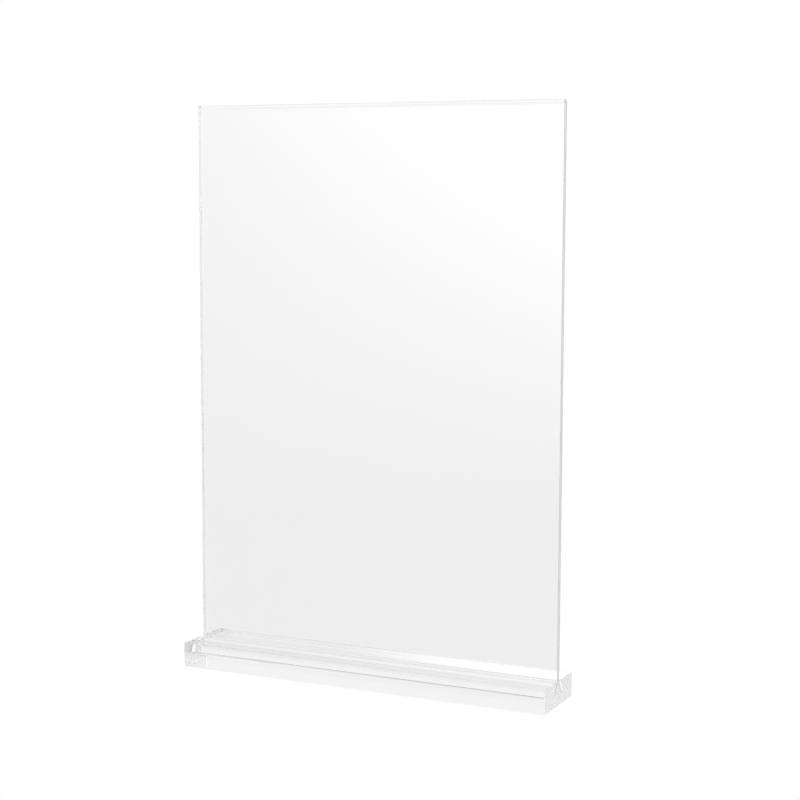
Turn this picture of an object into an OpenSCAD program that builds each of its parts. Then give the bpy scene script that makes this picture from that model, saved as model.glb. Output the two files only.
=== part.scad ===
// Clear tabletop print stand: a folded sheet that stands in a slotted block.
// X runs along the width, the front faces -Y, Z is up and the block rests on Z = 0.

/* [Stand] */
// Height from the table to the top of the fold
stand_h = 305; // [150:1:450]

/* [Block] */
// Width of the block
block_w = 212; // [105:1:320]
// Depth of the block, front to back
block_d = 38.5; // [25:0.5:80]
// Height of the block
block_h = 12.9; // [11:0.1:30]
// Polished bevel on every outer edge of the block
block_bevel = 0.2; // [0.1:0.1:1]

/* [Folded sheet] */
// Width of the sheet, which is the width of the print
sheet_w = 210; // [100:1:320]
// Thickness of the sheet
sheet_t = 1.5; // [0.8:0.1:2]
// Space between the two leaves, for the print
leaf_gap = 0.4; // [0.2:0.1:1]
// Distance that the sheet stands to the right of the block's middle
sheet_shift = 0.7; // [0:0.1:5]
// How far each leaf swells outwards at the fold, beyond its place below
fold_swell = 0.1; // [0:0.1:2]
// Outer radius of the curve that brings the leaves in below the fold
pinch_r = 3; // [1:0.5:12]

/* [Flared feet] */
// Angle of each foot from the vertical
flare_angle = 32; // [20:1:45]
// Radius of the bend above each foot, on its outer side
flare_r = 1; // [0.5:0.1:4]
// Straight length of each foot below its bend
flare_len = 6.5; // [3:0.1:9]
// Depth below the top of the block at which the bends start
neck_depth = 0.4; // [0:0.1:1.5]

/* [Slot] */
// Gap between a leaf and the side of the slot's mouth
mouth_clear = 0.35; // [0.1:0.05:1]
// Gap between a foot and the wedge on its inner side
inner_clear = 0.35; // [0.1:0.05:1]
// Gap between a foot and the slot wall on its outer side
outer_clear = 0.9; // [0.1:0.05:2]
// Gap between the end of a foot and the floor of the slot
floor_clear = 0.8; // [0.1:0.1:2]

/* [Hidden] */

// Steps that draw a full turn of a bend
turn_steps = 144;
// How far a cutting shape runs past what it cuts
over = 1;

// Middle line of a leaf, measured from the stand's middle plane
leaf_y = (leaf_gap + sheet_t) / 2;

// The fold, and the curve below it that brings each leaf in
fold_mid_r = leaf_y + fold_swell;
fold_z = stand_h - sheet_t / 2 - fold_mid_r;
pinch_mid_r = pinch_r + sheet_t / 2;
pinch_y = leaf_y + pinch_mid_r;
pinch_z = fold_z - sqrt(pow(fold_mid_r + pinch_mid_r, 2) - pow(pinch_y, 2));
pinch_turn = acos(pinch_y / (fold_mid_r + pinch_mid_r));

// The bend above each foot, and the directions along the foot and out of its upper side
flare_mid_r = flare_r + sheet_t / 2;
flare_y = leaf_y + flare_mid_r;
flare_z = block_h - neck_depth;
foot_dir = [sin(flare_angle), -cos(flare_angle)];
foot_out = [cos(flare_angle), sin(flare_angle)];
foot_start = [flare_y, flare_z] - flare_mid_r * foot_out;

// The slot, measured from the middle line of a foot
inner_wall = sheet_t / 2 + inner_clear;
outer_wall = sheet_t / 2 + outer_clear;
slot_end = foot_start + (flare_len + floor_clear) * foot_dir;
slot_top = block_h + over;
mouth_y = leaf_y + sheet_t / 2 + mouth_clear;

// Points along an arc from angle a0 to a1, with or without the last one
function arc(centre, r, a0, a1, last = true) =
    let (n = ceil(abs(a1 - a0) * turn_steps / 360))
    [for (i = [0:1:last ? n : n - 1])
        let (a = a0 + (a1 - a0) * i / n)
        centre + r * [cos(a), sin(a)]];

function reversed(points) = [for (i = [len(points) - 1:-1:0]) points[i]];

// The same outline on the other side of the middle plane
function mirrored(points) = [for (p = reversed(points)) [-p.x, p.y]];

// One face of the sheet below its fold, from the end of a foot upwards.
// off is the distance of the face from the middle line, positive on the outside.
function leaf_face(off) = concat(
    [foot_start + flare_len * foot_dir + off * foot_out],
    arc([flare_y, flare_z], flare_mid_r - off, 180 + flare_angle, 180),
    arc([pinch_y, pinch_z], pinch_mid_r - off, 180, 180 - pinch_turn, last = false)
);

// One whole face of the sheet, from foot to foot over the fold
function sheet_face(off) = concat(
    leaf_face(off),
    arc([0, fold_z], fold_mid_r + off, -pinch_turn, 180 + pinch_turn),
    mirrored(leaf_face(off))
);

// Points on a slot wall, off from the middle line of the foot
function wall_z(off, y) =
    let (p = foot_start + off * foot_out) p.y - (y - p.x) / tan(flare_angle);
function wall_y(off, z) =
    let (p = foot_start + off * foot_out) p.x - (z - p.y) * tan(flare_angle);

// One side of the slot: its mouth, outer wall and floor.
// The mouth is cut straight only where the outer wall would come too close to the leaf.
function slot_side() = concat(
    wall_y(outer_wall, slot_top) > mouth_y
        ? [[wall_y(outer_wall, slot_top), slot_top]]
        : [[mouth_y, slot_top], [mouth_y, wall_z(outer_wall, mouth_y)]],
    [slot_end + outer_wall * foot_out, slot_end - inner_wall * foot_out]
);

// The whole slot, around the wedge that stands between the feet
function slot_outline() = concat(
    slot_side(),
    [[0, wall_z(-inner_wall, 0)]],
    mirrored(slot_side())
);

// Runs an outline of the Y-Z plane along X, about the middle
module along_x(length) {
    rotate([90, 0, 90]) linear_extrude(height = length, center = true) children();
}

// A rectangle with bevelled corners, about the origin
module bevelled(w, h) {
    x = w / 2;
    y = h / 2;
    b = block_bevel;
    polygon([
        [x - b, -y], [x, -y + b], [x, y - b], [x - b, y],
        [-x + b, y], [-x, y - b], [-x, -y + b], [-x + b, -y]
    ]);
}

// Solid block with the slot through it from end to end
module base_block() {
    color([0.86, 0.89, 0.90, 0.6])
    difference() {
        translate([0, 0, block_h / 2])
        intersection() {
            along_x(block_w) bevelled(block_d, block_h);
            linear_extrude(height = block_h, center = true) bevelled(block_w, block_d);
            rotate([90, 0, 0]) linear_extrude(height = block_d, center = true)
                bevelled(block_w, block_h);
        }
        along_x(block_w + 2 * over) polygon(slot_outline());
    }
}

// One sheet folded over at the top, its two lower edges flared into feet
module folded_sheet() {
    color([0.90, 0.93, 0.94, 0.4])
    translate([sheet_shift, 0, 0])
    along_x(sheet_w)
        polygon(concat(sheet_face(sheet_t / 2), reversed(sheet_face(-sheet_t / 2))));
}

base_block();
folded_sheet();
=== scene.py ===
"""Clear tabletop print stand: looks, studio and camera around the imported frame."""

import math

import bpy
from mathutils import Matrix, Vector

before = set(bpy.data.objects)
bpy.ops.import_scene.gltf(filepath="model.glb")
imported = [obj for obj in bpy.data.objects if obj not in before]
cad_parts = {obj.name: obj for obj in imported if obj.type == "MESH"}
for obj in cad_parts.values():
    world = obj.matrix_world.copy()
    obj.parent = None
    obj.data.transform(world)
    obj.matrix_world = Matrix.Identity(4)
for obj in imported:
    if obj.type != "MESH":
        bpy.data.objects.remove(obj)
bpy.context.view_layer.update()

# Camera: where it stands, in metres, and how it is turned. Fitted to the outline's corners in the photo.
CAMERA_AT = (0.422, -0.839, 0.2615)
CAMERA_YAW = math.radians(25.82)
CAMERA_PITCH = math.radians(-6.713)
CAMERA_ROLL = math.radians(0.165)
CAMERA_LENS = 81.1
CAMERA_SENSOR = 36.0
CAMERA_CLIP = (0.01, 100)

# Acrylic: heights of its marks in metres, noise scales per metre.
# A stretch is how much longer a noise's cells are along X, Y and Z.
ACRYLIC_IOR = 1.49
SAWN_FACING = (0.85, 0.95)  # how far the normal points along X where the marks start, and are full
SAWN_SCALE = 420.0
SAWN_STRETCH = (1, 1, 7)
SAWN_GRAIN_SCALE = 1500.0
SAWN_GRAIN_STRETCH = (1, 1, 2)
SAWN_HEIGHT = 0.00004
SAWN_ROUGHNESS = (0.15, 0.40)
SAWN_TONE = (0.80, 1.0)
POLISH_SCALE = 60.0
POLISH_STRETCH = (6, 1, 1)
POLISH_HEIGHT = 0.000003

# Floor, in metres. Its brightness is a share of the white background. Beneath the block it has
# three bands of painted shade, front to back, tuned to the photo like the studio below.
FLOOR_HALF = 6.0
FLOOR_DROP = 0.0002
PAINTED_SHADE_EDGE = 0.001  # width of the change from painted shade to white at the block's outline
# Painted shade beneath the block: the floor's brightness in its front, middle and back bands
PAINTED_SHADE_FRONT = 0.81
PAINTED_SHADE_MIDDLE = 0.91
PAINTED_SHADE_BACK = 0.84
FRONT_TO_MIDDLE_Y = (-0.002, 0.002)
MIDDLE_TO_BACK_Y = (0.010, 0.018)
FLOOR_FADE_X = (0.130, 0.160)  # distance from the middle over which mirrored light loses the floor
FLOOR_FADE_Y = (0.030, 0.042)

# Studio. Its cards were placed and levelled by trial until the render matched the photo from the
# photo's angle, so they say nothing about other angles. Directions are unit vectors, so a plain X or
# Z is a share of one. A slope is X or Z over the depth, Y. Pairs are where a change starts and ends,
# and threes are a window and its soft edge. Brightness is a share of the white background.
MIN_DEPTH = 0.05  # keeps the slopes finite
FRONT_TO_BEHIND_Y = (-0.2, 0.2)

# The front's ramp was fitted by least squares to the panel's brightness in the photo
FRONT_DARK_Z = -0.1795  # the front is black below this
FRONT_POWER = 1.088  # curve of its growth upwards from there
FRONT_GROWTH = 17.64  # rate of that growth at X = 0
FRONT_GROWTH_X = 28.15  # what a unit of X adds to the rate
FRONT_MAX = 1.2

BEHIND_Z = (-0.05, 0.10)
BEHIND_LOW = 0.55
BEHIND_HIGH = 0.91
LOW_CARD = 0.85
LOW_CARD_SLOPE_X = (-0.70, -0.35, 0.08)
LOW_CARD_Z = (-0.10, -0.04)
DARK_LEFT = 0.65
DARK_RIGHT = 0.79
DARK_SLOPE_X = (-0.64, -0.34)
DARK_SLOPE_Z = (0.2985, 0.3005, 0.003)
STRIP_LEFT = 0.55
STRIP_RIGHT = 1.6
STRIP_SLOPE_X = (-0.54, -0.39)
STRIP_SLOPE_Z = (0.268, 0.2945, 0.004)

RIGHT_CARD = 1.0
RIGHT_CARD_SLOPE = (0.35, 0.80, 0.10)
LEFT_CARD = 1.0
LEFT_CARD_X = (-0.80, -0.66)
CEILING = 0.8
CEILING_Z = (0.45, 0.75)

# Bounces that light may take: in all and through acrylic, mirrored, and through the faded floor
BOUNCES = 48
MIRRORED_BOUNCES = 32
FADED_BOUNCES = 32


def half_size(node):
    """How far the node reaches along X and Y from the middle."""
    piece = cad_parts[node]
    corners = [piece.matrix_world @ Vector(corner) for corner in piece.bound_box]
    return max(c.x for c in corners), max(c.y for c in corners)


def add_camera():
    """The photograph's view: the lens is level except for the pitch and a touch of roll."""
    data = bpy.data.cameras.new("camera")
    data.lens = CAMERA_LENS
    data.sensor_width = CAMERA_SENSOR
    data.clip_start, data.clip_end = CAMERA_CLIP
    camera = bpy.data.objects.new("camera", data)
    bpy.context.scene.collection.objects.link(camera)
    turn = Matrix.Rotation(CAMERA_YAW, 4, "Z") @ Matrix.Rotation(math.pi / 2 + CAMERA_PITCH, 4, "X")
    camera.matrix_world = Matrix.Translation(CAMERA_AT) @ turn @ Matrix.Rotation(CAMERA_ROLL, 4, "Z")
    bpy.context.scene.camera = camera


def set_input(tree, socket, value):
    """Links a socket to value, or sets it where value is a plain number."""
    if isinstance(value, (int, float)):
        socket.default_value = value
    else:
        tree.links.new(value, socket)


def math_node(tree, operation, a, b=None):
    """A Math node whose inputs are sockets or plain numbers; returns its output."""
    node = tree.nodes.new("ShaderNodeMath")
    node.operation = operation
    set_input(tree, node.inputs[0], a)
    if b is not None:
        set_input(tree, node.inputs[1], b)
    return node.outputs[0]


def product(tree, a, b):
    return math_node(tree, "MULTIPLY", a, b)


def blend(tree, factor, low, high):
    """low at factor 0 and high at factor 1, each a socket or a number; returns the output."""
    node = tree.nodes.new("ShaderNodeMix")
    node.data_type = "FLOAT"
    for name, value in (("Factor", factor), ("A", low), ("B", high)):
        set_input(tree, node.inputs[name], value)
    return node.outputs["Result"]


def smooth_step(tree, value, low, high, to_low=0.0, to_high=1.0):
    """to_low up to low, to_high from high on, and a smooth change between them."""
    node = tree.nodes.new("ShaderNodeMapRange")
    node.interpolation_type = "SMOOTHSTEP"
    node.inputs["From Min"].default_value = low
    node.inputs["From Max"].default_value = high
    node.inputs["To Min"].default_value = to_low
    node.inputs["To Max"].default_value = to_high
    tree.links.new(value, node.inputs["Value"])
    return node.outputs["Result"]


def window(tree, value, low, high, soft):
    """1 between low and high, falling to 0 over a width of soft on both sides."""
    rise = smooth_step(tree, value, low - soft, low)
    return product(tree, rise, smooth_step(tree, value, high, high + soft, 1.0, 0.0))


def coordinates(tree, kind):
    """The X, Y and Z outputs of a texture coordinate."""
    coord = tree.nodes.new("ShaderNodeTexCoord")
    split = tree.nodes.new("ShaderNodeSeparateXYZ")
    tree.links.new(coord.outputs[kind], split.inputs[0])
    return split.outputs


def noise(tree, scale, stretch, detail):
    """A 3-D noise in object metres, its cells stretched along the axes; returns its 0..1 output."""
    coord = tree.nodes.new("ShaderNodeTexCoord")
    mapping = tree.nodes.new("ShaderNodeMapping")
    mapping.inputs["Scale"].default_value = [1 / s for s in stretch]
    tree.links.new(coord.outputs["Object"], mapping.inputs["Vector"])
    node = tree.nodes.new("ShaderNodeTexNoise")
    node.inputs["Scale"].default_value = scale
    node.inputs["Detail"].default_value = detail
    tree.links.new(mapping.outputs["Vector"], node.inputs["Vector"])
    return node.outputs[0]


def on_sawn_ends(tree):
    """1 on the sawn ends, which face along X, and 0 on the polished faces."""
    geometry = tree.nodes.new("ShaderNodeNewGeometry")
    split = tree.nodes.new("ShaderNodeSeparateXYZ")
    tree.links.new(geometry.outputs["Normal"], split.inputs[0])
    return smooth_step(tree, math_node(tree, "ABSOLUTE", split.outputs["X"]), *SAWN_FACING)


def inside_face(tree):
    """1 where light meets the face from within the acrylic, 0 from outside."""
    return tree.nodes.new("ShaderNodeNewGeometry").outputs["Backfacing"]


def grey(tree, value):
    tone = tree.nodes.new("ShaderNodeCombineColor")
    for channel in ("Red", "Green", "Blue"):
        tree.links.new(value, tone.inputs[channel])
    return tone.outputs[0]


def clear_acrylic(name, frost_outside, frost_inside, polish, density):
    """Clear acrylic. Its polished faces are a little wavy, and its sawn ends are frosted by the blade.

    frost_outside and frost_inside are the share of light that a sawn end scatters, met from the air
    and from within. Scattering within the acrylic loses more light, so it takes a lower share.
    polish is the roughest that a polished face gets, and density sets how much light the body absorbs.
    """
    material = bpy.data.materials.new(name)
    material.use_nodes = True
    tree = material.node_tree
    tree.nodes.clear()
    out = tree.nodes.new("ShaderNodeOutputMaterial")
    shader = tree.nodes.new("ShaderNodeBsdfPrincipled")
    shader.inputs["IOR"].default_value = ACRYLIC_IOR
    tree.links.new(shader.outputs["BSDF"], out.inputs["Surface"])

    sawn = on_sawn_ends(tree)
    marks = noise(tree, SAWN_SCALE, SAWN_STRETCH, detail=2.0)
    grain = noise(tree, SAWN_GRAIN_SCALE, SAWN_GRAIN_STRETCH, detail=1.0)
    wave = noise(tree, POLISH_SCALE, POLISH_STRETCH, detail=1.0)

    sawn_rough = blend(tree, marks, *SAWN_ROUGHNESS)
    rough = blend(tree, sawn, blend(tree, wave, 0.0, polish), sawn_rough)
    tree.links.new(rough, shader.inputs["Roughness"])
    frosted = blend(tree, inside_face(tree), 1 - frost_outside, 1 - frost_inside)
    tree.links.new(blend(tree, sawn, 1.0, frosted), shader.inputs["Transmission Weight"])
    tone = blend(tree, sawn, 1.0, blend(tree, marks, *SAWN_TONE))
    tree.links.new(grey(tree, tone), shader.inputs["Base Color"])

    sawn_height = product(tree, math_node(tree, "ADD", marks, grain), SAWN_HEIGHT)
    height = blend(tree, sawn, product(tree, wave, POLISH_HEIGHT), sawn_height)
    bump = tree.nodes.new("ShaderNodeBump")
    bump.inputs["Distance"].default_value = 1.0
    tree.links.new(height, bump.inputs["Height"])
    tree.links.new(bump.outputs["Normal"], shader.inputs["Normal"])

    if density:
        body = tree.nodes.new("ShaderNodeVolumeAbsorption")
        body.inputs["Color"].default_value = (0, 0, 0, 1)
        body.inputs["Density"].default_value = density
        tree.links.new(body.outputs[0], out.inputs["Volume"])
    return material


def use_material(node, material):
    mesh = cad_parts[node].data
    mesh.materials.clear()
    mesh.materials.append(material)


def mirrored_light(tree):
    """1 for light that some face mirrored and no face scattered, else 0.

    It keeps the background white while the clear faces show the studio. No real studio does this.
    """
    path = tree.nodes.new("ShaderNodeLightPath")
    mirrored = math_node(tree, "GREATER_THAN", path.outputs["Glossy Depth"], 0.5)
    return product(tree, mirrored, math_node(tree, "LESS_THAN", path.outputs["Diffuse Depth"], 0.5))


def floor_material():
    """White, with painted shade in three bands beneath the block. Mirrored light sees it only close to
    the stand.
    """
    block_x, block_y = half_size("base_block")
    material = bpy.data.materials.new("floor_white")
    material.use_nodes = True
    tree = material.node_tree
    tree.nodes.clear()
    x, y, _ = coordinates(tree, "Object")
    along = math_node(tree, "ABSOLUTE", x)
    across = math_node(tree, "ABSOLUTE", y)

    # Painted shade: inside the block's outline the floor glows less, in three bands from front to back
    beyond_x = smooth_step(tree, along, block_x - PAINTED_SHADE_EDGE, block_x)
    beyond_y = smooth_step(tree, across, block_y - PAINTED_SHADE_EDGE, block_y)
    painted_shade = smooth_step(tree, y, *FRONT_TO_MIDDLE_Y, PAINTED_SHADE_FRONT, PAINTED_SHADE_MIDDLE)
    painted_shade = blend(tree, smooth_step(tree, y, *MIDDLE_TO_BACK_Y), painted_shade, PAINTED_SHADE_BACK)
    glow = tree.nodes.new("ShaderNodeEmission")
    strength = blend(tree, math_node(tree, "MAXIMUM", beyond_x, beyond_y), painted_shade, 1.0)
    tree.links.new(strength, glow.inputs["Strength"])

    far_x = smooth_step(tree, along, *FLOOR_FADE_X)
    far_y = smooth_step(tree, across, *FLOOR_FADE_Y)
    fade = product(tree, math_node(tree, "MAXIMUM", far_x, far_y), mirrored_light(tree))
    mix = tree.nodes.new("ShaderNodeMixShader")
    clear = tree.nodes.new("ShaderNodeBsdfTransparent")
    out = tree.nodes.new("ShaderNodeOutputMaterial")
    tree.links.new(fade, mix.inputs[0])
    tree.links.new(glow.outputs[0], mix.inputs[1])
    tree.links.new(clear.outputs[0], mix.inputs[2])
    tree.links.new(mix.outputs[0], out.inputs["Surface"])
    return material


def add_floor():
    half = FLOOR_HALF
    corners = [(-half, -half, 0), (half, -half, 0), (half, half, 0), (-half, half, 0)]
    mesh = bpy.data.meshes.new("floor")
    mesh.from_pydata(corners, [], [(0, 1, 2, 3)])
    mesh.materials.append(floor_material())
    floor = bpy.data.objects.new("floor", mesh)
    floor.location.z = -FLOOR_DROP
    bpy.context.scene.collection.objects.link(floor)


def front_light(tree, x, z):
    """The studio in front of the stand: brighter upwards and to the right."""
    above = math_node(tree, "MAXIMUM", math_node(tree, "ADD", z, -FRONT_DARK_Z), 0)
    rise = math_node(tree, "POWER", above, FRONT_POWER)
    rate = math_node(tree, "ADD", product(tree, x, FRONT_GROWTH_X), FRONT_GROWTH)
    rate = math_node(tree, "MAXIMUM", rate, 0)
    return math_node(tree, "MINIMUM", product(tree, rise, rate), FRONT_MAX)


def back_light(tree, x, y, z):
    """The studio behind the stand: a grey wall with two cards and, between them, a strip of light."""
    depth = math_node(tree, "MAXIMUM", y, MIN_DEPTH)
    slope_x = math_node(tree, "DIVIDE", x, depth)
    slope_z = math_node(tree, "DIVIDE", z, depth)
    level = smooth_step(tree, z, *BEHIND_Z, BEHIND_LOW, BEHIND_HIGH)
    low = smooth_step(tree, z, *LOW_CARD_Z, 1.0, 0.0)
    low_card = product(tree, window(tree, slope_x, *LOW_CARD_SLOPE_X), low)
    level = blend(tree, low_card, level, LOW_CARD)
    dark_card = smooth_step(tree, slope_x, *DARK_SLOPE_X, DARK_LEFT, DARK_RIGHT)
    level = blend(tree, window(tree, slope_z, *DARK_SLOPE_Z), level, dark_card)
    strip = smooth_step(tree, slope_x, *STRIP_SLOPE_X, STRIP_LEFT, STRIP_RIGHT)
    return blend(tree, window(tree, slope_z, *STRIP_SLOPE_Z), level, strip)


def add_world():
    """White all round. Only mirrored light sees the studio, which shades the clear faces."""
    world = bpy.data.worlds.new("studio")
    bpy.context.scene.world = world
    world.use_nodes = True
    tree = world.node_tree
    tree.nodes.clear()
    x, y, z = coordinates(tree, "Generated")
    behind = smooth_step(tree, y, *FRONT_TO_BEHIND_Y)
    studio = blend(tree, behind, front_light(tree, x, z), back_light(tree, x, y, z))
    depth = math_node(tree, "MAXIMUM", math_node(tree, "ABSOLUTE", y), MIN_DEPTH)
    slope = math_node(tree, "DIVIDE", x, depth)
    studio = blend(tree, window(tree, slope, *RIGHT_CARD_SLOPE), studio, RIGHT_CARD)
    studio = blend(tree, smooth_step(tree, x, *LEFT_CARD_X, 1.0, 0.0), studio, LEFT_CARD)
    studio = product(tree, studio, smooth_step(tree, z, *CEILING_Z, 1.0, CEILING))
    back = tree.nodes.new("ShaderNodeBackground")
    back.inputs["Color"].default_value = (1, 1, 1, 1)
    out = tree.nodes.new("ShaderNodeOutputWorld")
    tree.links.new(blend(tree, mirrored_light(tree), 1.0, studio), back.inputs["Strength"])
    tree.links.new(back.outputs[0], out.inputs[0])


def set_light_paths():
    """Enough bounces for light to get out of the clear block, and white kept as white."""
    scene = bpy.context.scene
    scene.view_settings.view_transform = "Standard"
    scene.cycles.max_bounces = BOUNCES
    scene.cycles.glossy_bounces = MIRRORED_BOUNCES
    scene.cycles.transmission_bounces = BOUNCES
    scene.cycles.transparent_max_bounces = FADED_BOUNCES


block_acrylic = clear_acrylic(
    "block_acrylic", frost_outside=0.65, frost_inside=0.15, polish=0.01, density=0.15
)
sheet_acrylic = clear_acrylic(
    "sheet_acrylic", frost_outside=0.60, frost_inside=0.10, polish=0.002, density=0
)
use_material("base_block", block_acrylic)
use_material("folded_sheet", sheet_acrylic)
add_floor()
add_world()
add_camera()
set_light_paths()
